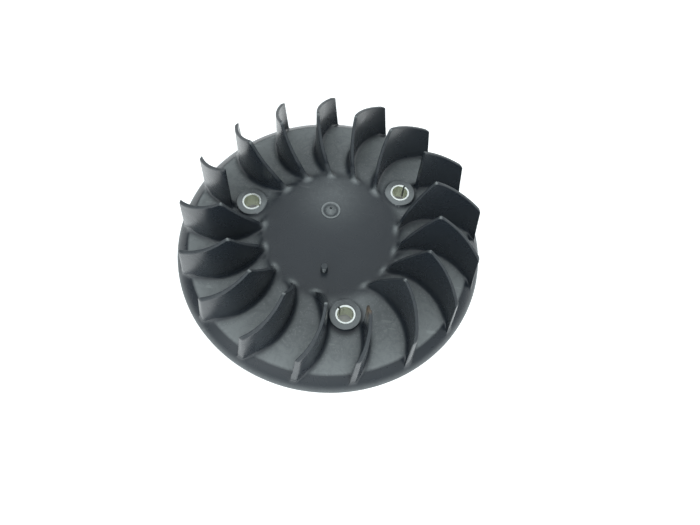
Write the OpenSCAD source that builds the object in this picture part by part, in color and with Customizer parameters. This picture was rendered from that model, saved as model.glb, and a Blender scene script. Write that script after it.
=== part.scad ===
// Cooling fan wheel that bolts to the face of a magneto flywheel.
// A dished disc carries curved radial blades and three bolt bosses, and a split steel
// sleeve is pressed into each boss so that the bolts can't crush the moulding.
// The wheel turns about +Z and stands on z = 0 with the foot of its rim.

/* [Disc] */
// Outer diameter of the disc
disc_d = 128; // [126:0.5:132]
// Radius of the flat plateau in the middle
plateau_r = 28; // [27.5:0.5:29]
// Height of the plateau above the foot of the rim
plateau_z = 12; // [11.8:0.1:12.4]
// Radius of the shoulder, where the channel floors turn down to the rim
shoulder_r = 58.5; // [57.5:0.5:59]
// Height of the shoulder
shoulder_z = 6; // [5.5:0.1:6.5]
// Radius at which the rim's slope becomes steeper
rim_bend_r = 61; // [60.5:0.1:61.2]
// Height of the rim's slope at that radius
rim_bend_z = 4.1; // [3.9:0.1:4.2]
// Height of the upright edge of the rim
rim_edge = 0.8; // [0.5:0.1:1.2]
// Thickness of the disc's skin
skin = 2.5; // [2.2:0.1:2.8]

/* [Blades] */
// Number of blades
blade_count = 17; // [17:1:17]
// Direction of the first blade's peak, in degrees from +X
first_blade_angle = 189.14; // [188.5:0.1:189.5]
// Radius of the arc that a blade follows in plan
blade_arc_r = 24.2; // [23.8:0.1:24.6]
// Radius at which the blade points straight outwards
blade_apex_r = 40.5; // [40.2:0.1:40.8]
// Radius of a blade's inner end
blade_in_r = 26.8; // [26.4:0.1:27.2]
// Height of a blade's inner end
blade_in_z = 14.2; // [13.8:0.1:14.6]
// Radius of a blade's peak
peak_r = 41.6; // [41.2:0.1:42]
// Height of a blade's peak above the foot of the rim
peak_z = 37.2; // [36:0.1:38]
// Radius of a blade's outer top corner
tip_r = 60.2; // [59.8:0.1:60.6]
// Height of a blade's outer top corner
tip_z = 24.3; // [23.8:0.1:24.8]
// Radius of a blade's outer foot
foot_r = 61.8; // [61.4:0.1:62]
// Thickness of a blade at its top
blade_top_t = 1.4; // [1.2:0.1:1.6]
// Thickness of a blade where it meets the disc
blade_root_t = 2.8; // [2.4:0.1:3]

/* [Bosses and sleeves] */
// Distance of the boss centres from the axis
boss_ring_r = 36.1; // [35.9:0.1:36.3]
// Directions of the three bosses, which are spaced unequally
boss_angles = [162.2, 41.3, -73.8];
// Outer diameter of a boss
boss_d = 12.6; // [12:0.1:13]
// Height of a boss's top face
boss_top_z = 11.5; // [11.3:0.1:11.6]
// Height of a boss's pad, which lands on the flywheel
boss_pad_z = 3; // [2.5:0.5:3]
// Outer diameter of a pressed-in sleeve
sleeve_od = 8; // [7.9:0.1:8.1]
// Bore of a sleeve, which clears an M6 bolt
sleeve_id = 6.3; // [6.2:0.1:6.4]
// Length of a sleeve, measured up from the boss's pad
sleeve_len = 8.3; // [8:0.1:8.4]
// Width of a sleeve's slit
sleeve_slit = 0.9; // [0.8:0.1:1.2]
// Directions of the slits, in degrees from +X
slit_angles = [-22, 62, 138];
// Radius kept free of blades around each boss, for the bolt head and its socket
bolt_clear_r = 8.2; // [8:0.1:8.4]

/* [Small features] */
// Place of the moulding gate's mark on the plateau
gate_at = [-1, 10.7];
// Outer diameter of the gate's mark
gate_d = 8; // [7:0.5:9]
// Place of the locating peg on the plateau
peg_at = [-0.4, -17.2];
// Diameter of the peg
peg_d = 3; // [2.6:0.1:3.2]
// Height of the peg above the plateau
peg_h = 4; // [3.4:0.1:4.4]

/* [Underside] */
// Thickness of the radial ribs under the disc
rib_t = 2; // [1.6:0.1:2.4]

/* [Hidden] */
$fn = 180;
disc_r = disc_d / 2;
eps = 0.01;
blade_pitch = 360 / blade_count;
// The arc's centre, in the frame where +X points through the blade's peak.
arc_centre = [blade_apex_r, -blade_arc_r];
// A blade's own half of its arc's circle lies above this line in that frame.
arc_cut_y = -16;
bump_r = 2.6;
bump_sink = 0.2;
gate_ring_w = 0.9;
gate_ring_h = 0.45;
gate_stub_h = 2;
gate_stub_top_d = 1.9;
gate_dot_d = 1;
gate_dot_depth = 0.6;
rib_foot_z = 3.4;
rim_foot_w = 3.5;
// The hollow underside turns down from the plateau's flat ceiling at this radius.
hub_r = plateau_r - 0.5;
sky_z = peak_z + 10;

function two_digits(i) = i < 10 ? str("0", i) : str(i);
function blade_name(i) = str("blade_", two_digits(i));
function sector_name(i) = str("disc_sector_", i);
function sleeve_name(i) = str("bolt_sleeve_", i);
function blade_angle(i) = first_blade_angle - (i - 1) * blade_pitch;

// Smallest angle between two directions.
function angle_between(a, b) = let (turn = abs(a - b) % 360) min(turn, 360 - turn);

// True if blade i would run into a boss.
function meets_boss(i) =
    min([for (angle = boss_angles) angle_between(blade_angle(i), angle)]) < blade_pitch / 2;

// Direction halfway from boss i to the next one clockwise.
function between_bosses(i) =
    let (next = i < len(boss_angles) - 1 ? boss_angles[i + 1] : boss_angles[0] - 360)
    (boss_angles[i] + next) / 2;

// Direction of a blade's inner end, measured from its peak: where the arc has radius blade_in_r.
function arc_inner_angle() =
    let (reach = norm(arc_centre),
         turn = acos((blade_in_r ^ 2 + reach ^ 2 - blade_arc_r ^ 2)
                     / (2 * blade_in_r * reach)))
    atan2(arc_centre.y, arc_centre.x) + turn;

// Height of the steeper, outer part of the rim's slope at radius r.
function rim_top(r) =
    rim_edge + (rim_bend_z - rim_edge) * (disc_r - r) / (disc_r - rim_bend_r);

// Radial ribs under the disc run out through each boss and halfway between them, clockwise.
RIB_ANGLES = [
    for (i = [0:len(boss_angles) - 1])
        each [boss_angles[i], between_bosses(i)]
];

// Direction in which sector i of the disc begins: halfway to the rib before it.
function sector_start(i) =
    let (before = i > 1 ? RIB_ANGLES[i - 2] : RIB_ANGLES[len(RIB_ANGLES) - 1] + 360)
    (before + RIB_ANGLES[i - 1]) / 2;

// Direction in which sector i ends, going clockwise.
function sector_end(i) =
    i < len(RIB_ANGLES) ? sector_start(i + 1) : sector_start(1) - 360;

SECTORS = [for (i = [1:len(RIB_ANGLES)]) sector_name(i)];
BLADES = [for (i = [1:blade_count]) blade_name(i)];
SLEEVES = [for (i = [1:len(boss_angles)]) sleeve_name(i)];

// Everything above the disc's top surface and below a blade's top edge, turned about Z.
module blade_envelope() {
    rotate_extrude()
        polygon([
            [blade_in_r - 1.2, plateau_z],
            [blade_in_r, blade_in_z],
            [peak_r, peak_z],
            [tip_r, tip_z],
            [foot_r, rim_top(foot_r)],
            [rim_bend_r, rim_bend_z],
            [shoulder_r, shoulder_z],
            [plateau_r, plateau_z],
        ]);
}

// The wall that a blade follows in plan, thinner at the top so that it leaves the mould.
module blade_wall() {
    half_root = blade_root_t / 2;
    half_top = blade_top_t / 2;
    translate([arc_centre.x, arc_centre.y, 0])
        difference() {
            cylinder(r1 = blade_arc_r + half_root, r2 = blade_arc_r + half_top, h = peak_z);
            translate([0, 0, -eps])
                cylinder(r1 = blade_arc_r - half_root, r2 = blade_arc_r - half_top,
                         h = peak_z + 2 * eps);
        }
}

// Keeps the bolt heads and a socket spanner clear of the blades.
module bolt_clearance() {
    for (angle = boss_angles)
        rotate(angle)
            translate([boss_ring_r, 0, 0])
                cylinder(r = bolt_clear_r, h = sky_z);
}

// Everything above the disc's top surface.
module above_disc() {
    rotate_extrude()
        polygon([
            [0, plateau_z],
            [plateau_r, plateau_z],
            [shoulder_r, shoulder_z],
            [rim_bend_r, rim_bend_z],
            [disc_r, rim_edge],
            [disc_r, sky_z],
            [0, sky_z],
        ]);
}

// Rounded lump where a blade's inner end runs out on the plateau.
module blade_bump() {
    rotate(arc_inner_angle())
        translate([blade_in_r, 0, blade_in_z - bump_r + bump_sink])
            sphere(r = bump_r, $fn = 64);
}

module blade(i) {
    color([0.13, 0.15, 0.16])
        difference() {
            rotate(blade_angle(i)) {
                intersection() {
                    blade_envelope();
                    blade_wall();
                    translate([0, arc_cut_y, 0])
                        cube([disc_r, -2 * arc_cut_y, sky_z]);
                }
                if (!meets_boss(i))
                    intersection() {
                        above_disc();
                        blade_bump();
                    }
            }
            // A blade that meets a boss has no inner end, and leaves room for the bolt's head.
            if (meets_boss(i)) {
                bolt_clearance();
                cylinder(r = boss_ring_r, h = sky_z);
            }
        }
}

// The dished skin: flat plateau, conical channel floor, steeper rim and hollow underside.
module disc_skin() {
    rotate_extrude()
        polygon([
            [0, plateau_z],
            [plateau_r, plateau_z],
            [shoulder_r, shoulder_z],
            [rim_bend_r, rim_bend_z],
            [disc_r, rim_edge],
            [disc_r, 0],
            [disc_r - rim_foot_w, 0],
            [shoulder_r - 1, shoulder_z - skin],
            [hub_r, plateau_z - skin],
            [0, plateau_z - skin],
        ]);
}

// The space that the ribs fill: from their feet up into the middle of the skin.
module rib_envelope() {
    rotate_extrude()
        polygon([
            [0, rib_foot_z],
            [0, plateau_z - skin / 2],
            [plateau_r, plateau_z - skin / 2],
            [shoulder_r, shoulder_z - skin / 2],
            [shoulder_r, rib_foot_z],
        ]);
}

module underside_ribs() {
    intersection() {
        rib_envelope();
        for (angle = RIB_ANGLES)
            rotate(angle)
                translate([boss_ring_r, -rib_t / 2, 0])
                    cube([disc_r - boss_ring_r, rib_t, plateau_z]);
    }
}

module bosses() {
    for (angle = boss_angles)
        rotate(angle)
            translate([boss_ring_r, 0, boss_pad_z])
                cylinder(d = boss_d, h = boss_top_z - boss_pad_z);
}

// The slice of space that sector i of the disc fills, out past the rim.
module sector_slice(i) {
    reach = 2 * disc_r;
    start = sector_start(i);
    end = sector_end(i);
    middle = (start + end) / 2;
    linear_extrude(sky_z)
        polygon([
            [0, 0],
            reach * [cos(end), sin(end)],
            reach * [cos(middle), sin(middle)],
            reach * [cos(start), sin(start)],
        ]);
}

module sleeve_pockets() {
    for (angle = boss_angles)
        rotate(angle)
            translate([boss_ring_r, 0, 0]) {
                cylinder(d = sleeve_od, h = sky_z);
                translate([0, 0, boss_top_z])
                    cylinder(d = boss_d + 1, h = sky_z);
            }
}

// Mark of the moulding gate: a raised ring round a cone-shaped stub with a dimple on top.
module gate_mark() {
    translate([gate_at.x, gate_at.y, plateau_z - eps]) {
        difference() {
            cylinder(d = gate_d, h = gate_ring_h);
            cylinder(d = gate_d - 2 * gate_ring_w, h = 1);
        }
        difference() {
            cylinder(d1 = gate_d - 3 * gate_ring_w, d2 = gate_stub_top_d, h = gate_stub_h);
            translate([0, 0, gate_stub_h - gate_dot_depth])
                cylinder(d = gate_dot_d, h = gate_stub_h);
        }
    }
}

module peg() {
    translate([peg_at.x, peg_at.y, plateau_z - eps])
        cylinder(d = peg_d, h = peg_h);
}

// The flat middle of the disc, with the gate's mark and the peg.
module hub_plate() {
    color([0.22, 0.24, 0.25]) {
        translate([0, 0, plateau_z - skin])
            cylinder(r = hub_r, h = skin);
        gate_mark();
        peg();
    }
}

// One of the slices that make up the rest of the disc, each with its rib in the middle.
module disc_sector(i) {
    color([0.22, 0.24, 0.25])
        difference() {
            intersection() {
                union() {
                    disc_skin();
                    underside_ribs();
                    bosses();
                }
                sector_slice(i);
            }
            cylinder(r = hub_r, h = sky_z);
            sleeve_pockets();
        }
}

module bolt_sleeve(i) {
    color([0.80, 0.80, 0.72])
        rotate(boss_angles[i - 1])
            translate([boss_ring_r, 0, boss_pad_z])
                rotate(slit_angles[i - 1] - boss_angles[i - 1])
                    difference() {
                        cylinder(d = sleeve_od, h = sleeve_len);
                        translate([0, 0, -eps])
                            cylinder(d = sleeve_id, h = sleeve_len + 2 * eps);
                        translate([0, -sleeve_slit / 2, -eps])
                            cube([sleeve_od, sleeve_slit, sleeve_len + 2 * eps]);
                    }
}

hub_plate();
for (i = [1:len(RIB_ANGLES)])
    disc_sector(i);
for (i = [1:blade_count])
    blade(i);
for (i = [1:len(boss_angles)])
    bolt_sleeve(i);
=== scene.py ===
"""Looks of a flywheel's cooling fan wheel: one black moulding and three split steel sleeves.

The moulding is one continuous skin. A distance field describes the disc, the blades and their
fillets, and a grid that follows the blades turns it into quads. Bosses, ribs, the gate's mark and
the peg are turned or extruded and joined to it. Lengths are in millimetres until a mesh is made.
"""

import math

import bmesh
import bpy
import numpy as np
from mathutils import Matrix, Vector


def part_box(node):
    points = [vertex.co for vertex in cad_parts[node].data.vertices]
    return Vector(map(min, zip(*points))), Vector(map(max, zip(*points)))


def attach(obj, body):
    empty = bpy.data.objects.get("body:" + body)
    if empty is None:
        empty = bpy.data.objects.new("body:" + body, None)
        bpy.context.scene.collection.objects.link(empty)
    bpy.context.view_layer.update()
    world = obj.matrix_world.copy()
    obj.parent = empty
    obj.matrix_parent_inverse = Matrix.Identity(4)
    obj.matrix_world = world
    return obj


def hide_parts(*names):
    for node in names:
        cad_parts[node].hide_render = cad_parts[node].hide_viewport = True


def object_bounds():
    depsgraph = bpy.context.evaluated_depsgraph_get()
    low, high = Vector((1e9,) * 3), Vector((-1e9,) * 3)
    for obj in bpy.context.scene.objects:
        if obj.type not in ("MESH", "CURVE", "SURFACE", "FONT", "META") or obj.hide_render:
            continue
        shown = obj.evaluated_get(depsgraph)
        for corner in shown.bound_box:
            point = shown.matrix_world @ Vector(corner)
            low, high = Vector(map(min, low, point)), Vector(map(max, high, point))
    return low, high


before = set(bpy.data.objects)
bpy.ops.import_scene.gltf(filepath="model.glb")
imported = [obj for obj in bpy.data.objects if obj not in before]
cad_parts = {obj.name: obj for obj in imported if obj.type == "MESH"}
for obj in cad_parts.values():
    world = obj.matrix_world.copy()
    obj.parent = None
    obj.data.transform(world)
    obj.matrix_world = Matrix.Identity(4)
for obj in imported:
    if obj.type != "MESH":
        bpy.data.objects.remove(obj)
cad_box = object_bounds()

MM = 0.001
BLADES = sorted(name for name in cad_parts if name.startswith("blade_"))
SLEEVES = sorted(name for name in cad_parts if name.startswith("bolt_sleeve_"))
MOULDED = sorted(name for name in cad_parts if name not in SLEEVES)


def box_mm(node):
    """Lowest and highest corner of a CAD node, in millimetres."""
    return [np.array(corner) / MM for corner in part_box(node)]


# ---------------------------------------------------------------- sizes, in millimetres
RIM_R = cad_box[1][0] / MM
RIM_EDGE = 0.8
PLATEAU = (28.0, 12.0)      # radius and height of the plateau's edge
SHOULDER = (58.5, 6.0)      # where the channel floor turns down to the rim
RIM_BEND = (61.0, 4.1)      # where the rim's slope becomes steeper
PLATEAU_SOFT = 0.15         # how near two distances are where a blunt edge starts to be softened
SHOULDER_SOFT = 0.25
BEND_SOFT = 0.4
RIM_SOFT = 1.3
SKIN = 2.5
RIM_FOOT_W = 3.5
HOLLOW_EDGE = (PLATEAU[0] - 0.5, PLATEAU[1] - SKIN)  # corners of the hollow under the disc
HOLLOW_SHOULDER = (SHOULDER[0] - 1.0, SHOULDER[1] - SKIN)
HOLLOW_FOOT = (RIM_R - RIM_FOOT_W, 0.0)
HOLLOW_ROUND = 0.8
OUTER_ROUND = 0.25          # the rim foot's outer and inner edges
INNER_ROUND = 0.3

COUNT = len(BLADES)
PITCH = 2 * math.pi / COUNT
FIRST_BLADE = math.radians(189.14)
ARC_R = 24.2
ARC_CENTRE = (40.5, -24.2)  # in the frame whose X axis points through the blade's peak
BLADE_START = (27.2, 12.2)  # radius and height where a blade's top edge leaves the plateau
BLADE_BEND = (31.0, 20.7)   # and where it has become the straight line from BLADE_IN to BLADE_PEAK
BLADE_IN = (26.8, 14.2)
BLADE_PEAK = (41.6, cad_box[1][2] / MM)
BLADE_TIP = (60.2, 24.3)
BLADE_FOOT = (61.8, 3.2)
HALF_ROOT = 0.95
HALF_TOP = 0.6
TOP_ROUND = 0.35
PEAK_ROUND = 0.9
TIP_ROUND = 0.6
SWELL_AT = 27.1             # radius of the low swelling of the plateau at a blade's inner end
SWELL_SIZE = (1.6, 2.8, 0.9)  # its half sizes outwards and sideways, and its height
ROOT_FILLET = 2.3
INNER_FILLET = 1.0          # a blade's fillet grows from this
FILLET_GROWS = (SWELL_AT, SWELL_AT + 6.0)
FOOT_FILLET = 0.6           # a smaller fillet where the blade runs down to the rim
FILLET_ENDS = (SHOULDER[0] - 1.5, RIM_BEND[0])
BOLT_CLEAR_R = 8.2
TRIMMED = 12                # this blade's inner corner is cut lower, next to a boss
TRIM_IN_R = 40.8
NOTCH_OUT_R = 45.4
NOTCH_Z = 31.0

BOSS_R = 6.3
BOSS_TOP = 11.5
BOSS_PAD = 3.0
POCKET_R = 4.0
BOSSES = [(low + high)[:2] / 2 for low, high in (box_mm(name) for name in SLEEVES)]
BOSS_RING_R = float(np.mean([math.hypot(x, y) for x, y in BOSSES]))

RIB_FOOT = 3.4
RIB_T = 2.0

GATE_AT = (-1.0, 10.7)
GATE_RING_R = 3.5
GATE_STUB_R = 1.9
GATE_DIMPLE_R = 0.55
PEG_AT = (-0.4, -17.2)
PEG_R = 1.5
PEG_TOP = 16.0

SLEEVE_R = POCKET_R
SLEEVE_BORE_R = 3.15
SLEEVE_SLIT = 0.9
SLEEVE_SOFT = 0.08
SLIT_ANGLES = {"bolt_sleeve_1": -22.0, "bolt_sleeve_2": 62.0, "bolt_sleeve_3": 138.0}

# Where looks fade in or out: the radii, heights or distances at which each fade starts and ends.
FROST_FROM = (26.5, 33.0)   # inner edge of the frosted channel floors
FROST_TO = (57.8, 59.0)     # their outer edge
FROST_MORE = (36.0, 57.0)   # the frost gets stronger over these radii
FROST_RISE = (0.05, 1.2)    # it ends this far off the floor, so that it doesn't climb the fillets
SHADE_BESIDE_BLADE = (0.4, 3.0)    # the frost fades in beside a blade, leaving painted shade on the floor next to it
SHADE_ROUND_BOSS = (BOSS_R - 0.3, BOSS_R + 2.0)  # and round a boss, leaving painted shade there
BOSS_SHADE = 0.8            # shift of the painted shadow round a boss towards the front
UNDER = 1.0                 # nothing deeper than this under the top surface is frosted
LIP_RADII = (61.6, 64.2)    # the lip along the rim, painted paler as a reflection of the bright table
LIP_RISE = (0.1, 0.8)
SHEEN_AT = (GATE_AT[0], GATE_AT[1] + 8.0)  # middle of the painted pale reflection on the plateau behind the gate
SHEEN_R = 12.0
TOP_EDGE = (-0.5, -0.1)     # a blade's top is worn where it is this near to its edge
TOP_RISE = (1.5, 3.0)       # and this far above the disc
PEAK_WEAR_AND_GLINT = (0.5, 1.4)      # distance from a blade's peak, which is worn and carries a painted glint
SCUFF_WIDTH = 2.5
SCUFF_RADII = (45.5, 47.0)
SCUFF_HEIGHTS = (NOTCH_Z - 8.0, NOTCH_Z - 1.0)

# Colours, as linear red, green, blue and opacity.
BLACK = (0.022, 0.028, 0.036, 1)
# pale colour of frost, also used for painted highlights and reflections
PALE_FROST_AND_LIGHT = (0.29, 0.31, 0.315, 1)
# pale colour of wear, scratches and the painted glints on the blades' peaks
PALE_WEAR_AND_GLINT = (0.45, 0.48, 0.48, 1)
SCUFFED = (0.17, 0.125, 0.085, 1)
ZINC = (0.97, 1.0, 0.97, 1)
PASSIVATED = (0.88, 0.93, 0.72, 1)

# Lobes of the surrounding light: direction from the front towards the right, height, strength.
LIGHT = [
    (0, 88, 0.07), (0, 60, 0.27), (0, 25, 0.27), (45, 25, 0.24), (90, 20, 0.12), (135, 12, 0.25),
    (180, 62, 0.25), (180, 30, 0.15), (270, 55, 0.18), (315, 25, 0.42),
]
LIGHT_FOCUS = 10.0
LIGHT_POWER = 4.0
AMBIENT = 0.05
TABLE_GLOW = 0.7
HIDDEN_GLOW = 0.1           # painted light on the table under the wheel, seen through the bores


# ---------------------------------------------------------------- distance field
def fade(value, start, end):
    """0 before start, 1 after end, and a smooth step between them."""
    t = np.clip((value - start) / (end - start), 0, 1)
    return t * t * (3 - 2 * t)


def round_union(a, b, radius):
    """Both solids, with a concave fillet of that radius between them."""
    corner = np.hypot(np.maximum(radius - a, 0), np.maximum(radius - b, 0))
    return np.maximum(radius, np.minimum(a, b)) - corner


def round_common(a, b, radius):
    """What two solids share, with the edge between them rounded."""
    corner = np.hypot(np.maximum(radius + a, 0), np.maximum(radius + b, 0))
    return np.minimum(-radius, np.maximum(a, b)) + corner


def soft_common(a, b, reach):
    """What two solids share, with a blunt edge softened where their distances are that close."""
    return np.maximum(a, b) + np.maximum(reach - np.abs(a - b), 0) ** 2 / (4 * reach)


def above_line(r, z, start, end):
    """Distance above the line from start out to end, in the (r, z) half-plane."""
    run, rise = end[0] - start[0], end[1] - start[1]
    return ((z - start[1]) * run - (r - start[0]) * rise) / math.hypot(run, rise)


def disc_top(r, z):
    """Distance above the plateau, the channel floors and the rim's slope."""
    cone = above_line(r, z, PLATEAU, SHOULDER)
    slope = above_line(r, z, SHOULDER, RIM_BEND)
    slope = soft_common(slope, above_line(r, z, RIM_BEND, (RIM_R, RIM_EDGE)), BEND_SOFT)
    return soft_common(soft_common(z - PLATEAU[1], cone, PLATEAU_SOFT), slope, SHOULDER_SOFT)


def hollow_field(r, z):
    """The space under the disc: a flat ceiling, then cones down to the rim's foot."""
    ceiling = np.maximum(z - HOLLOW_EDGE[1], above_line(r, z, HOLLOW_EDGE, HOLLOW_SHOULDER))
    return round_common(ceiling, above_line(r, z, HOLLOW_SHOULDER, HOLLOW_FOOT), HOLLOW_ROUND)


def arc_angle(r):
    """Direction in which the blade's arc has radius r, measured from the blade's peak."""
    reach = math.hypot(*ARC_CENTRE)
    r = np.clip(r, BLADE_IN[0], RIM_R + 2)
    cosine = (r ** 2 + reach ** 2 - ARC_R ** 2) / (2 * r * reach)
    return math.atan2(ARC_CENTRE[1], ARC_CENTRE[0]) + np.arccos(cosine)


def meets_boss(i):
    """True if blade i would run through a boss, so that its inner end is cut away."""
    angle = FIRST_BLADE - i * PITCH
    for x, y in BOSSES:
        if abs(math.remainder(angle - math.atan2(y, x), 2 * math.pi)) < PITCH / 2:
            return True
    return False


CUT_BLADES = np.array([meets_boss(i) for i in range(COUNT)])


def from_boss(x, y):
    """Distance from the nearest boss's axis."""
    return np.min([np.hypot(x - bx, y - by) for bx, by in BOSSES], axis=0)


def blade_field(x, y, z, r):
    """Distance to the nearest blade, a curved wall with rounded edges, and its swelling, 0 to 1."""
    turn = (FIRST_BLADE + arc_angle(r) - np.arctan2(y, x)) / PITCH
    number = np.round(turn).astype(int)
    angle = FIRST_BLADE - number * PITCH
    local_x = x * np.cos(angle) + y * np.sin(angle)
    local_y = y * np.cos(angle) - x * np.sin(angle)
    half = HALF_ROOT + (HALF_TOP - HALF_ROOT) * z / BLADE_PEAK[1]
    wall = np.abs(np.hypot(local_x - ARC_CENTRE[0], local_y - ARC_CENTRE[1]) - ARC_R) - half
    rising = above_line(r, z, BLADE_IN, BLADE_PEAK)
    falling = above_line(r, z, BLADE_PEAK, BLADE_TIP)
    edge = round_common(rising, falling, PEAK_ROUND)
    edge = round_common(edge, above_line(r, z, BLADE_TIP, BLADE_FOOT), TIP_ROUND)
    whole = soft_common(edge, above_line(r, z, BLADE_START, BLADE_BEND), BEND_SOFT)
    outside = np.maximum(BOLT_CLEAR_R - from_boss(x, y), BOSS_RING_R - r)
    cut = round_common(round_common(wall, edge, TOP_ROUND), outside, TOP_ROUND)
    notch = np.maximum(TRIM_IN_R - r, np.minimum(NOTCH_OUT_R - r, z - NOTCH_Z))
    trimmed = round_common(cut, notch, TOP_ROUND)
    cut = np.where(number % COUNT == TRIMMED, trimmed, cut)
    is_cut = CUT_BLADES[number % COUNT]
    blade = np.where(is_cut, cut, round_common(wall, whole, TOP_ROUND))
    # The swelling is stretched along the plateau's edge, so its long axis is square to the radius.
    inner = float(arc_angle(np.array(SWELL_AT)))
    outwards = local_x * math.cos(inner) + local_y * math.sin(inner) - SWELL_AT
    sideways = local_y * math.cos(inner) - local_x * math.sin(inner)
    swelling = np.exp(-(outwards / SWELL_SIZE[0]) ** 2 - (sideways / SWELL_SIZE[1]) ** 2)
    return blade, np.where(is_cut, 0.0, swelling)


def wheel_field(p):
    """Signed distance to the moulding's skin, negative inside."""
    x, y, z = p[..., 0], p[..., 1], p[..., 2]
    r = np.hypot(x, y)
    blade, swelling = blade_field(x, y, z, r)
    fillet = INNER_FILLET + (ROOT_FILLET - INNER_FILLET) * fade(r, *FILLET_GROWS)
    fillet -= (ROOT_FILLET - FOOT_FILLET) * fade(r, *FILLET_ENDS)
    solid = round_union(disc_top(r, z) - SWELL_SIZE[2] * swelling, blade, fillet)
    solid = soft_common(solid, r - RIM_R, RIM_SOFT)
    solid = round_common(solid, -z, OUTER_ROUND)
    return round_common(solid, -hollow_field(r, z), INNER_ROUND)


# ---------------------------------------------------------------- grid that follows the blades
def grid_radii():
    """Radii of the grid at floor level: close together where edges and the rim are."""
    return np.concatenate([
        np.linspace(1.5, 22.0, 6)[:-1],
        np.linspace(22.0, 31.0, 19)[:-1],
        np.linspace(31.0, 57.0, 29)[:-1],
        np.linspace(57.0, 61.4, 9)[:-1],
        np.linspace(61.4, 62.4, 4)[:-1],
        np.linspace(62.4, 64.5, 7),
    ])


def grid_heights(top, bottom, reach):
    """Heights of the grid over one radius: through the skin, up the fillet, to the blade's edge."""
    size = min(reach / 10.0, 1.0)
    full = max(reach, 10.0)
    skin = [bottom - 0.7, bottom - 0.25, bottom + (top - bottom) * 0.3, bottom + (top - bottom) * 0.7]
    fillet = [0.3, 0.8, 1.35, 2.0, 2.8, 3.8]
    wall = np.linspace(3.8, full - 1.6, 14)[1:-1]
    edge = [full - 1.6, full - 0.9, full - 0.45, full - 0.15, full + 0.3, full + 0.9]
    return np.concatenate([skin, top + size * np.concatenate([fillet, wall, edge])])


def grid_points():
    """Grid points [radius, angle, height, xyz]. Its sheets follow the blades' walls and edges."""
    radii = grid_radii()
    offsets = np.array([0.0, 0.42, 0.85, 1.3, 1.85, 2.55, 3.4])
    between = np.linspace(0, 1, 7)[1:-1]
    rows = []
    for rho in radii:
        lean = np.interp(rho, [BLADE_PEAK[0], BLADE_FOOT[0], 64.5], [0, BLADE_FOOT[0] - BLADE_TIP[0], 0])
        top = np.interp(
            rho,
            [PLATEAU[0], SHOULDER[0], RIM_BEND[0], RIM_R],
            [PLATEAU[1], SHOULDER[1], RIM_BEND[1], RIM_EDGE],
        )
        bottom = np.interp(
            rho,
            [HOLLOW_EDGE[0], HOLLOW_SHOULDER[0], HOLLOW_FOOT[0]],
            [HOLLOW_EDGE[1], HOLLOW_SHOULDER[1], HOLLOW_FOOT[1]],
        )
        edge = np.interp(
            rho - lean,
            [BLADE_IN[0], BLADE_PEAK[0], BLADE_TIP[0]],
            [BLADE_IN[1], BLADE_PEAK[1], BLADE_TIP[1]],
        )
        reach = max(edge - top, 3.8)
        heights = grid_heights(top, bottom, reach)
        share = np.clip((heights - top) / reach, 0, 1)
        rows.append((rho - lean * share, heights))
    r = np.array([row[0] for row in rows])[:, None, :]
    z = np.array([row[1] for row in rows])[:, None, :]
    # Across the blade, offsets are square to its wall, so on a slanting wall they cover more angle.
    at = np.clip(r, BLADE_IN[0], None)
    phi = arc_angle(at)
    normal_x = (at * np.cos(phi) - ARC_CENTRE[0]) / ARC_R
    normal_y = (at * np.sin(phi) - ARC_CENTRE[1]) / ARC_R
    across = np.abs(normal_y * np.cos(phi) - normal_x * np.sin(phi)) * at
    side = offsets[None, :, None] / across
    start, end = side[:, -1:, :], PITCH - side[:, -1:, :]
    middle = start + (end - start) * between[None, :, None]
    one_pitch = np.concatenate([side, middle, PITCH - side[:, :0:-1, :]], axis=1)
    turns = np.arange(COUNT)[None, :, None, None] * PITCH
    angle = (one_pitch[:, None] + turns).reshape(len(radii), -1, z.shape[2]) + phi + FIRST_BLADE
    r = np.broadcast_to(r, angle.shape)
    z = np.broadcast_to(z, angle.shape)
    return np.stack([r * np.cos(angle), r * np.sin(angle), z], axis=-1)


def corner(a, di, dj, dk):
    """One corner's value for every cell of a grid that wraps round in its second direction."""
    ni, nk = a.shape[0] - 1, a.shape[2] - 1
    return np.roll(a, -dj, axis=1)[di:di + ni, :, dk:dk + nk]


def surface_nets(value, point):
    """Vertices and quads of the surface where value is 0, one vertex in each cell it crosses."""
    inside = value < 0
    corners = [(i, j, k) for i in (0, 1) for j in (0, 1) for k in (0, 1)]
    total = np.zeros(corner(value, 0, 0, 0).shape + (3,))
    hits = np.zeros(total.shape[:3])
    for a in corners:
        for axis in range(3):
            if a[axis]:
                continue
            b = tuple(1 if n == axis else a[n] for n in range(3))
            va, vb = corner(value, *a), corner(value, *b)
            crossed = (va < 0) != (vb < 0)
            t = np.where(crossed, va / np.where(crossed, va - vb, 1), 0)[..., None]
            pa, pb = corner(point, *a), corner(point, *b)
            total += np.where(crossed[..., None], pa + t * (pb - pa), 0)
            hits += crossed
    active = hits > 0
    index = np.full(hits.shape, -1)
    index[active] = np.arange(active.sum())
    vertices = total[active] / hits[active][:, None]
    quads = []
    before = np.roll(index, 1, axis=1)
    # Each grid edge that crosses the surface gives one quad, through the four cells around it.
    low, high = inside[:-1, :, 1:-1], inside[1:, :, 1:-1]
    ring = [before[:, :, :-1], index[:, :, :-1], index[:, :, 1:], before[:, :, 1:]]
    quads.append(edge_quads(low, high, ring))
    low, high = inside[1:-1, :, 1:-1], np.roll(inside, -1, axis=1)[1:-1, :, 1:-1]
    ring = [index[:-1, :, :-1], index[:-1, :, 1:], index[1:, :, 1:], index[1:, :, :-1]]
    quads.append(edge_quads(low, high, ring))
    low, high = inside[1:-1, :, :-1], inside[1:-1, :, 1:]
    ring = [before[:-1], before[1:], index[1:], index[:-1]]
    quads.append(edge_quads(low, high, ring))
    return vertices, np.concatenate(quads), index


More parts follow.
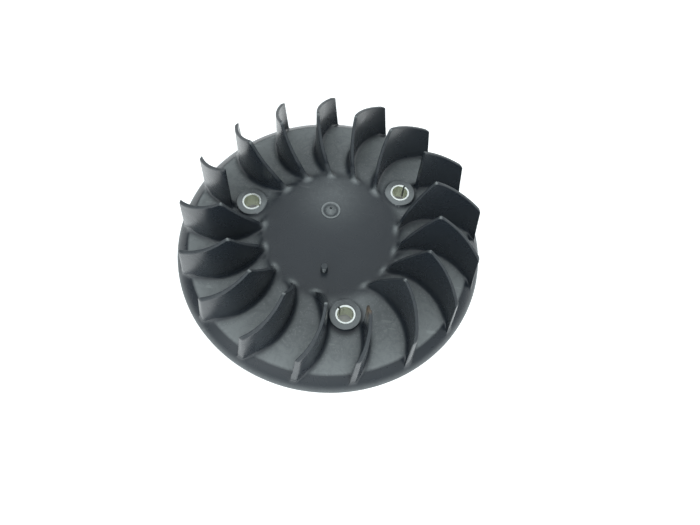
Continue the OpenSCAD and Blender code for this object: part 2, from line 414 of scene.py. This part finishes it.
def edge_quads(low, high, ring):
    """Quads across the grid edges with one end inside, facing the end that is outside."""
    leaving, entering = low & ~high, ~low & high
    out = [np.stack([cells[leaving] for cells in ring], axis=-1)]
    out.append(np.stack([cells[entering] for cells in ring[::-1]], axis=-1))
    return np.concatenate(out)


def settle(vertices, steps=4):
    """Moves each vertex onto the field's surface, along the field's slope."""
    h = 0.01
    for _ in range(steps):
        value = wheel_field(vertices)
        slope = np.stack([
            (wheel_field(vertices + h * axis) - wheel_field(vertices - h * axis)) / (2 * h)
            for axis in np.eye(3)
        ], axis=-1)
        length = np.maximum((slope ** 2).sum(axis=-1), 0.25)
        move = -value / length
        vertices = vertices + np.clip(move, -0.4, 0.4)[:, None] * slope
    return vertices


def body_mesh():
    """The disc and blades as one closed mesh, with a small fan closing each side at the axis."""
    points = grid_points()
    vertices, quads, index = surface_nets(wheel_field(points), points)
    vertices = settle(vertices)
    faces = quads.tolist()
    for k in np.flatnonzero((index[0] >= 0).all(axis=0)):
        ring = index[0, :, k]
        z = vertices[ring, 2].mean()
        vertices = np.vstack([vertices, [[0.0, 0.0, z]]])
        hub = len(vertices) - 1
        up = z > PLATEAU[1] - SKIN / 2
        for a, b in zip(ring, np.roll(ring, -1)):
            faces.append([hub, a, b] if up else [hub, b, a])
    return vertices, faces


# ---------------------------------------------------------------- meshes and pieces
def make_object(name, vertices, faces):
    """A Blender object from vertices in millimetres."""
    mesh = bpy.data.meshes.new(name)
    mesh.from_pydata((np.asarray(vertices, float) * MM).tolist(), [], faces)
    mesh.validate()
    obj = bpy.data.objects.new(name, mesh)
    bpy.context.scene.collection.objects.link(obj)
    return obj


def turned(outline, centre=(0.0, 0.0), segments=96):
    """Vertices and faces of a closed outline of (r, z) points, turned about a vertical axis."""
    vertices, rings, faces = [], [], []
    for r, z in outline:
        if r == 0:
            rings.append([len(vertices)] * segments)
            vertices.append((centre[0], centre[1], z))
            continue
        rings.append(list(range(len(vertices), len(vertices) + segments)))
        for n in range(segments):
            angle = 2 * math.pi * n / segments
            vertices.append((centre[0] + r * math.cos(angle), centre[1] + r * math.sin(angle), z))
    for a, b in zip(rings, rings[1:] + rings[:1]):
        for n in range(segments):
            m = (n + 1) % segments
            face = [a[n], a[m], b[m], b[n]]
            face = [v for k, v in enumerate(face) if v != face[k - 1]]
            if len(face) > 2:
                faces.append(face)
    return vertices, faces


def several(parts):
    """Joins vertices and faces of parts that don't touch each other."""
    vertices, faces = [], []
    for part_vertices, part_faces in parts:
        start = len(vertices)
        vertices.extend(part_vertices)
        faces.extend([[v + start for v in face] for face in part_faces])
    return vertices, faces


def arc_points(centre, radius, start, end, steps):
    """Points of an arc in the (r, z) half-plane, angles in degrees."""
    angles = np.radians(np.linspace(start, end, steps + 1))
    return [(centre[0] + radius * math.cos(a), centre[1] + radius * math.sin(a)) for a in angles]


def boss_outline():
    """Solid boss: flat pad, straight wall and a rounded edge round its top face."""
    edge = 0.5
    return (
        [(0.0, BOSS_PAD), (BOSS_R - 0.3, BOSS_PAD), (BOSS_R, BOSS_PAD + 0.3)]
        + arc_points((BOSS_R - edge, BOSS_TOP - edge), edge, 0, 90, 6)
        + [(0.0, BOSS_TOP)]
    )


def pocket_outline():
    """Cutter for a sleeve's pocket, with a small lead-in at the top."""
    return [
        (0.0, -5.0), (POCKET_R, -5.0), (POCKET_R, BOSS_TOP - 0.25), (POCKET_R + 0.25, BOSS_TOP),
        (POCKET_R + 0.25, BOSS_TOP + 1.0), (0.0, BOSS_TOP + 1.0),
    ]


def spot_face_outline():
    """Cutter that levels the skin round a boss's top face."""
    r = BOSS_R + 0.25
    return [(0.0, BOSS_TOP), (r, BOSS_TOP), (r, BOSS_TOP + 1.5), (0.0, BOSS_TOP + 1.5)]


def gate_outline():
    """The gate's mark: a ring that slopes inwards, and a conical stub with a dimple on top."""
    z = PLATEAU[1]
    ring = arc_points((3.75, z + 0.25), 0.25, 0, 100, 8)
    stub = arc_points((0.72, z + 1.75), 0.24, 30, 100, 5)
    return (
        [(0.0, z - 0.6), (4.0, z - 0.6)] + ring
        + [(2.95, z + 0.08), (2.7, z + 0.02), (2.5, z + 0.12), (1.75, z + 0.75), (1.6, z + 0.95)]
        + stub
        + [(0.55, z + 1.6), (0.5, z + 1.0), (0.0, z + 0.95)]
    )


def peg_outline():
    """The locating peg: a short tapering pin with a domed end."""
    z, dome, taper = PLATEAU[1], 0.35, 0.1
    return (
        [(0.0, z - 0.8), (PEG_R, z - 0.8), (PEG_R, z)]
        + arc_points((PEG_R - taper - dome, PEG_TOP - dome), dome, 8, 90, 8)
        + [(0.0, PEG_TOP)]
    )


def rib_angles():
    """Directions of the radial ribs: through each boss and halfway between neighbours."""
    through = sorted(math.atan2(y, x) for x, y in BOSSES)
    after = through[1:] + [through[0] + 2 * math.pi]
    return through + [(a + b) / 2 for a, b in zip(through, after)]


def radial_rib(angle):
    """One straight rib under the disc, from the boss ring out to the rim's slope."""
    soft, half = 0.35, RIB_T / 2
    r0, r1 = BOSS_RING_R, SHOULDER[0] - 0.5

    def skin_middle(r):
        return np.interp(r, [PLATEAU[0], SHOULDER[0]], [PLATEAU[1], SHOULDER[1]]) - SKIN / 2

    section = [(half, None), (half, RIB_FOOT + soft), (half - soft, RIB_FOOT)]
    section += [(-y, z) for y, z in section[::-1]]
    vertices = []
    for r in (r0, r1):
        for y, z in section:
            height = skin_middle(r) if z is None else z
            vertices.append((
                r * math.cos(angle) - y * math.sin(angle), r * math.sin(angle) + y * math.cos(angle), height
            ))
    n = len(section)
    faces = [[k, (k + 1) % n, n + (k + 1) % n, n + k] for k in range(n)]
    faces += [list(range(n - 1, -1, -1)), list(range(n, 2 * n))]
    return vertices, faces


def combine(target, operation, vertices, faces):
    """Joins a closed mesh to the target, or cuts it away."""
    tool = make_object("tool", vertices, faces)
    outward(tool)
    modifier = target.modifiers.new(operation, "BOOLEAN")
    modifier.operation = operation
    modifier.solver = "MANIFOLD"
    modifier.object = tool
    apply_modifiers(target)
    bpy.data.objects.remove(tool)


def outward(obj):
    """Turns all of a closed mesh's faces to point outwards."""
    bm = bmesh.new()
    bm.from_mesh(obj.data)
    bmesh.ops.recalc_face_normals(bm, faces=bm.faces)
    bm.to_mesh(obj.data)
    bm.free()


def apply_modifiers(obj):
    """Bakes the modifiers into the object's mesh."""
    depsgraph = bpy.context.evaluated_depsgraph_get()
    mesh = bpy.data.meshes.new_from_object(obj.evaluated_get(depsgraph))
    obj.modifiers.clear()
    obj.data = mesh


def smooth(obj, angle=32.0):
    """Smooth shading, with sharp edges where faces meet at more than that angle."""
    obj.data.shade_smooth()
    obj.data.set_sharp_from_angle(angle=math.radians(angle))


def paint(obj, name, values):
    """Stores one number per vertex, which a material can read by name."""
    obj.data.attributes.new(name, "FLOAT", "POINT").data.foreach_set("value", values)


def floor_frost_and_shade(x, y, r, above, beside):
    """Frost on the channel floors, which stops short of the hub and the rim, and is held back beside blades
    and in front of bosses as painted shade.
    """
    frost_and_painted_light = fade(r, *FROST_FROM) * (1 - fade(r, *FROST_TO)) * (1 - fade(np.abs(above), *FROST_RISE))
    # painted shadow: the frost stops short of each boss, further on its front side
    frost_and_painted_light *= (0.85 + 0.4 * fade(r, *FROST_MORE)) * fade(from_boss(x, y + BOSS_SHADE), *SHADE_ROUND_BOSS)
    # painted shade: the floor stays dark next to each blade
    return frost_and_painted_light * (0.2 + 0.8 * fade(beside, *SHADE_BESIDE_BLADE))


def marks_and_highlights(x, y, z):
    """Boss tops, paler to the front as painted light, the gate's ring and stub, and a painted highlight
    down the peg's front.
    """
    near_boss = from_boss(x, y)
    # painted light: each boss top is paler on its front side
    to_front = (near_boss - from_boss(x, y + BOSS_SHADE)) / BOSS_SHADE
    boss_tops = (near_boss < BOSS_R + 0.1) * (1 - fade(np.abs(z - BOSS_TOP), 0.1, 0.5))
    boss_tops = boss_tops * (0.65 + 0.35 * to_front)
    from_gate = np.hypot(x - GATE_AT[0], y - GATE_AT[1])
    ring = (np.abs(from_gate - GATE_RING_R) < 0.6) * fade(z, PLATEAU[1] + 0.1, PLATEAU[1] + 0.4)
    stub = (from_gate < GATE_STUB_R) * (from_gate > GATE_DIMPLE_R)
    from_peg = np.hypot(x - PEG_AT[0], y - PEG_AT[1])
    # painted highlight: a bright strip down the peg's front
    peg_highlight = np.exp(-((x - PEG_AT[0]) / 0.5) ** 2) * (y < PEG_AT[1]) * (z < PEG_TOP - 0.2)
    peg = (from_peg < PEG_R + 0.1) * fade(z, PLATEAU[1] + 0.5, PEG_TOP - 0.5) * (0.05 + 3.0 * peg_highlight)
    return np.maximum.reduce([1.9 * boss_tops, 1.5 * ring, 1.0 * stub, peg])


def edge_wear_and_glint(r, z, above):
    """Wear along the blades' top edges, strongest at their peaks, where it also paints a glint."""
    top = np.maximum(above_line(r, z, BLADE_IN, BLADE_PEAK), above_line(r, z, BLADE_PEAK, BLADE_TIP))
    from_peak = np.hypot(r - BLADE_PEAK[0], z - BLADE_PEAK[1])
    return np.maximum(0.3 * fade(top, *TOP_EDGE) * fade(above, *TOP_RISE), 1 - fade(from_peak, *PEAK_WEAR_AND_GLINT))


def corner_scuff(x, y, z, r):
    """The scuff on the trimmed blade's cut corner."""
    angle = FIRST_BLADE - TRIMMED * PITCH
    turn = np.remainder(np.arctan2(y, x) - angle - arc_angle(r) + math.pi, 2 * math.pi) - math.pi
    return (np.abs(turn) * r < SCUFF_WIDTH) * (1 - fade(r, *SCUFF_RADII)) * fade(z, *SCUFF_HEIGHTS)


def paint_moulding(obj):
    """Marks where the moulding is frosted, where painted shade, highlights and reflections go, where its
    edges are worn and carry painted glints, and where it is scuffed.
    """
    flat = np.empty(3 * len(obj.data.vertices))
    obj.data.vertices.foreach_get("co", flat)
    x, y, z = flat.reshape(-1, 3).T / MM
    r = np.hypot(x, y)
    above = disc_top(r, z)
    beside, swelling = blade_field(x, y, z, r)
    # painted reflection: the lip along the rim is paler
    lip = 0.5 * fade(r, *LIP_RADII) * (1 - fade(above, *LIP_RISE))
    # painted reflection: a pale cloud on the plateau behind the gate
    sheen = 0.5 * np.exp(-((x - SHEEN_AT[0]) ** 2 + (y - SHEEN_AT[1]) ** 2) / SHEEN_R ** 2)
    frost_and_painted_light = [floor_frost_and_shade(x, y, r, above, beside), marks_and_highlights(x, y, z)]
    # painted highlight on the swelling at each blade's inner end
    frost_and_painted_light += [lip, sheen * (r < PLATEAU[0] + 2), swelling ** 1.5]
    # frost, painted shade, painted highlights and painted reflections all go into this one mark
    paint(obj, "frost_and_painted_light", np.maximum.reduce(frost_and_painted_light) * (above > -UNDER))
    paint(obj, "wear_and_glint", edge_wear_and_glint(r, z, above))
    paint(obj, "scuff", corner_scuff(x, y, z, r))


def make_moulding():
    """The disc, blades, bosses, ribs and small marks as one closed moulding."""
    vertices, faces = body_mesh()
    obj = make_object("fan_moulding", vertices, faces)
    outward(obj)
    raised = [turned(boss_outline(), centre) for centre in BOSSES]
    raised.append(turned(gate_outline(), GATE_AT))
    raised.append(turned(peg_outline(), PEG_AT, 48))
    combine(obj, "UNION", *several(raised))
    combine(obj, "UNION", *several([radial_rib(angle) for angle in rib_angles()]))
    combine(obj, "DIFFERENCE", *several([turned(spot_face_outline(), c) for c in BOSSES]))
    combine(obj, "DIFFERENCE", *several([turned(pocket_outline(), c) for c in BOSSES]))
    obj.data.materials.clear()
    paint_moulding(obj)
    smooth(obj)
    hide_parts(*MOULDED)
    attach(obj, "root")
    return obj


def make_sleeve(number, name, slit_angle):
    """A rolled split sleeve: a strip bent round until its ends nearly meet."""
    low, high = box_mm(name)
    cx, cy = (low + high)[:2] / 2
    outer, inner, soft = SLEEVE_R, SLEEVE_BORE_R, SLEEVE_SOFT
    z0, z1 = low[2], high[2]
    section = [
        (inner, z0 + soft), (inner + soft, z0), (outer - soft, z0), (outer, z0 + soft),
        (outer, z1 - soft), (outer - soft, z1), (inner + soft * 1.5, z1), (inner, z1 - soft * 1.5),
    ]
    half = math.asin(SLEEVE_SLIT / 2 / outer)
    steps = 88
    vertices, faces = [], []
    for n in range(steps + 1):
        angle = math.radians(slit_angle) + half + (2 * math.pi - 2 * half) * n / steps
        for r, z in section:
            vertices.append((cx + r * math.cos(angle), cy + r * math.sin(angle), z))
    m = len(section)
    for n in range(steps):
        for k in range(m):
            a, b = n * m + k, n * m + (k + 1) % m
            faces.append([a, b, b + m, a + m])
    faces.append(list(range(m)))
    faces.append([steps * m + k for k in range(m)][::-1])
    obj = make_object(f"steel_sleeve_{number}", vertices, faces)
    outward(obj)
    in_bore = [1.0 if r == inner else 0.0 for _ in range(steps + 1) for r, _z in section]
    paint(obj, "bore", in_bore)
    smooth(obj)
    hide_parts(name)
    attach(obj, "root")
    return obj


# ---------------------------------------------------------------- materials
def new_material(name):
    """A material with node links, its tree and its Principled shader."""
    material = bpy.data.materials.new(name)
    material.use_nodes = True
    tree = material.node_tree
    return material, tree, tree.nodes["Principled BSDF"]


def add_node(tree, kind, inputs, **settings):
    """A node with its settings. Inputs are values, or sockets to be linked."""
    node = tree.nodes.new(kind)
    for key, value in settings.items():
        setattr(node, key, value)
    for key, value in inputs.items():
        if isinstance(value, bpy.types.NodeSocket):
            tree.links.new(value, node.inputs[key])
        else:
            node.inputs[key].default_value = value
    return node


def calculate(tree, operation, a, b=0.0, c=0.0):
    """The output of one math node."""
    return add_node(tree, "ShaderNodeMath", {0: a, 1: b, 2: c}, operation=operation).outputs[0]


def noise(tree, where, scale, detail=3.0, distortion=0.0):
    """Noise between about 0 and 1. The scale is in waves per metre."""
    inputs = {"Vector": where, "Scale": scale, "Detail": detail, "Distortion": distortion}
    return add_node(tree, "ShaderNodeTexNoise", inputs).outputs["Fac"]


def remap(tree, value, low, high, new_low, new_high):
    """Moves a value from one range to another, and clips it there."""
    inputs = {"Value": value, "From Min": low, "From Max": high, "To Min": new_low, "To Max": new_high}
    return add_node(tree, "ShaderNodeMapRange", inputs).outputs["Result"]


def stretched(tree, where, turn, scale):
    """Coordinates turned about Z and stretched, for streaks and scratches."""
    inputs = {"Vector": where, "Rotation": (0.0, 0.0, turn), "Scale": scale}
    return add_node(tree, "ShaderNodeMapping", inputs).outputs["Vector"]


def painted(tree, name):
    """A number stored on the mesh by paint()."""
    return add_node(tree, "ShaderNodeAttribute", {}, attribute_name=name).outputs["Fac"]


def mix_colour(tree, share, a, b):
    """A colour between a and b."""
    inputs = {"Factor": share, 6: a, 7: b}
    return add_node(tree, "ShaderNodeMix", inputs, data_type="RGBA").outputs[2]


def plastic_material():
    """Black glass-filled nylon: smooth with clouds, frosted on the floors, paler on worn edges, and paler
    where highlights, reflections and glints are painted.
    """
    material, tree, shader = new_material("black nylon")
    where = add_node(tree, "ShaderNodeTexCoord", {}).outputs["Object"]
    cloud = noise(tree, where, 70.0, 4.0, 1.5)
    swirl = noise(tree, where, 160.0, 3.0, 3.0)
    grain = noise(tree, where, 1500.0, 2.0)
    frost_and_painted_light, wear_and_glint, scuff = (painted(tree, name) for name in ("frost_and_painted_light", "wear_and_glint", "scuff"))

    patchy = calculate(tree, "MULTIPLY", frost_and_painted_light, remap(tree, swirl, 0.3, 0.7, 0.85, 1.12))
    # grain with painted glints: bright specks in the frosted surfaces stand in for sparkle from the light
    grain_and_glints = remap(tree, grain, 0.58, 0.72, 0.0, 0.5)
    patchy = calculate(tree, "MULTIPLY_ADD", grain_and_glints, patchy, patchy)
    pale = mix_colour(tree, calculate(tree, "MULTIPLY", patchy, 0.78), BLACK, PALE_FROST_AND_LIGHT)
    # pale wear on the edges, with a painted glint at each blade's peak
    edge = calculate(tree, "MULTIPLY", wear_and_glint, wear_and_glint)
    edge = calculate(tree, "MULTIPLY", edge, remap(tree, swirl, 0.3, 0.7, 0.4, 0.85))
    pale = mix_colour(tree, edge, pale, PALE_WEAR_AND_GLINT)
    scraped = calculate(tree, "MULTIPLY", scuff, remap(tree, swirl, 0.4, 0.6, 0.2, 0.8))
    pale = mix_colour(tree, scraped, pale, SCUFFED)

    scratches = None
    for turn, reach in ((0.5, 60.0), (2.3, 90.0)):
        streaks = noise(tree, stretched(tree, where, turn, (reach, 420.0, 200.0)), 1.0, 1.0)
        lines = remap(tree, streaks, 0.735, 0.75, 0.0, 1.0)
        scratches = lines if scratches is None else calculate(tree, "MAXIMUM", scratches, lines)
    scratches = calculate(tree, "MULTIPLY", scratches, frost_and_painted_light)
    pale = mix_colour(tree, calculate(tree, "MULTIPLY", scratches, 0.3), pale, PALE_WEAR_AND_GLINT)
    tree.links.new(pale, shader.inputs["Base Color"])

    rough = remap(tree, cloud, 0.3, 0.7, 0.24, 0.32)
    rough = calculate(tree, "MULTIPLY_ADD", frost_and_painted_light, 0.3, rough)
    rough = calculate(tree, "MULTIPLY_ADD", wear_and_glint, 0.7, rough)
    rough = calculate(tree, "MULTIPLY_ADD", scuff, 0.15, rough)
    tree.links.new(rough, shader.inputs["Roughness"])

    height = calculate(tree, "MULTIPLY", grain, calculate(tree, "MULTIPLY_ADD", frost_and_painted_light, 0.4, 0.015))
    height = calculate(tree, "MULTIPLY_ADD", swirl, 0.5, height)
    height = calculate(tree, "MULTIPLY_ADD", scratches, -0.4, height)
    bump = add_node(tree, "ShaderNodeBump", {"Strength": 0.5, "Distance": 0.00005, "Height": height})
    tree.links.new(bump.outputs["Normal"], shader.inputs["Normal"])
    return material


def steel_material():
    """Zinc-plated strip: bright at the cut ends, with a yellow-green passivated bore."""
    material, tree, shader = new_material("passivated steel")
    where = add_node(tree, "ShaderNodeTexCoord", {}).outputs["Object"]
    blotches = noise(tree, where, 500.0, 3.0, 1.0)
    marks = noise(tree, stretched(tree, where, 0.0, (1.0, 1.0, 0.12)), 2500.0, 2.0)
    bore = painted(tree, "bore")
    tint = calculate(tree, "MULTIPLY", bore, remap(tree, blotches, 0.3, 0.7, 0.75, 1.0))
    colour = mix_colour(tree, tint, ZINC, PASSIVATED)
    tree.links.new(colour, shader.inputs["Base Color"])
    tree.links.new(calculate(tree, "MULTIPLY_ADD", bore, 0.3, 0.6), shader.inputs["Metallic"])
    rough = calculate(tree, "MULTIPLY_ADD", blotches, 0.2, 0.2)
    tree.links.new(rough, shader.inputs["Roughness"])
    bump = add_node(tree, "ShaderNodeBump", {"Strength": 0.3, "Distance": 0.00004, "Height": marks})
    tree.links.new(bump.outputs["Normal"], shader.inputs["Normal"])
    return material


# ---------------------------------------------------------------- stage, light and camera
def make_floor():
    """A plain pale light table under the wheel."""
    half = 4000.0
    z = -0.05
    corners = [(-half, -half, z), (half, -half, z), (half, half, z), (-half, half, z)]
    floor = make_object("floor", corners, [[0, 1, 2, 3]])
    material, tree, shader = new_material("pale floor")
    shader.inputs["Base Color"].default_value = (0.93, 0.93, 0.93, 1)
    shader.inputs["Roughness"].default_value = 0.9
    shader.inputs["Emission Color"].default_value = (0.97, 1, 1, 1)
    where = add_node(tree, "ShaderNodeTexCoord", {}).outputs["Object"]
    reach = add_node(tree, "ShaderNodeVectorMath", {0: where}, operation="LENGTH").outputs["Value"]
    # Painted light: beyond the wheel the table glows evenly; under it the glow drops to a dim pool seen
    # through the bores.
    glow = remap(tree, reach, 0.9 * RIM_R * MM, RIM_R * MM, HIDDEN_GLOW, TABLE_GLOW)
    tree.links.new(glow, shader.inputs["Emission Strength"])
    floor.data.materials.append(material)


def make_world():
    """Soft light from a few broad directions, as in a light tent."""
    world = bpy.data.worlds.new("light tent")
    world.use_nodes = True
    tree = world.node_tree
    where = add_node(tree, "ShaderNodeTexCoord", {}).outputs["Generated"]
    total = AMBIENT
    for azimuth, elevation, strength in LIGHT:
        side, height = math.radians(azimuth), math.radians(elevation)
        towards = (math.sin(side) * math.cos(height), -math.cos(side) * math.cos(height), math.sin(height))
        facing = add_node(tree, "ShaderNodeVectorMath", {0: where, 1: towards}, operation="DOT_PRODUCT")
        facing = calculate(tree, "MAXIMUM", facing.outputs["Value"], 0.0)
        lobe = calculate(tree, "POWER", facing, LIGHT_FOCUS)
        total = calculate(tree, "MULTIPLY_ADD", lobe, LIGHT_POWER * strength, total)
    background = tree.nodes["Background"]
    background.inputs["Color"].default_value = (0.93, 1.0, 1.02, 1)
    tree.links.new(total, background.inputs["Strength"])
    bpy.context.scene.world = world


def make_camera():
    """The camera stands in front of the wheel and looks down on it, rolled a little."""
    elevation, roll = math.radians(63.63), math.radians(6.75)
    target = Vector((9.49, -6.47, 0.0)) * MM
    distance = 289.69 * MM
    forward = Vector((0, math.cos(elevation), -math.sin(elevation)))
    right = Vector((1, 0, 0))
    up = Vector((0, math.sin(elevation), math.cos(elevation)))
    camera_right = math.cos(roll) * right + math.sin(roll) * up
    camera_up = math.cos(roll) * up - math.sin(roll) * right
    data = bpy.data.cameras.new("camera")
    data.sensor_width = 36.0
    data.lens = 35.27
    data.clip_start = 0.01
    camera = bpy.data.objects.new("camera", data)
    turn = Matrix((camera_right, camera_up, -forward)).transposed().to_4x4()
    camera.matrix_world = Matrix.Translation(target - forward * distance) @ turn
    bpy.context.scene.collection.objects.link(camera)
    bpy.context.scene.camera = camera


make_camera()
make_floor()
make_world()
bpy.context.scene.view_settings.view_transform = "Standard"

plastic = plastic_material()
steel = steel_material()
moulding = make_moulding()
moulding.data.materials.append(plastic)
for number, name in enumerate(SLEEVES, 1):
    sleeve = make_sleeve(number, name, SLIT_ANGLES[name])
    sleeve.data.materials.append(steel)
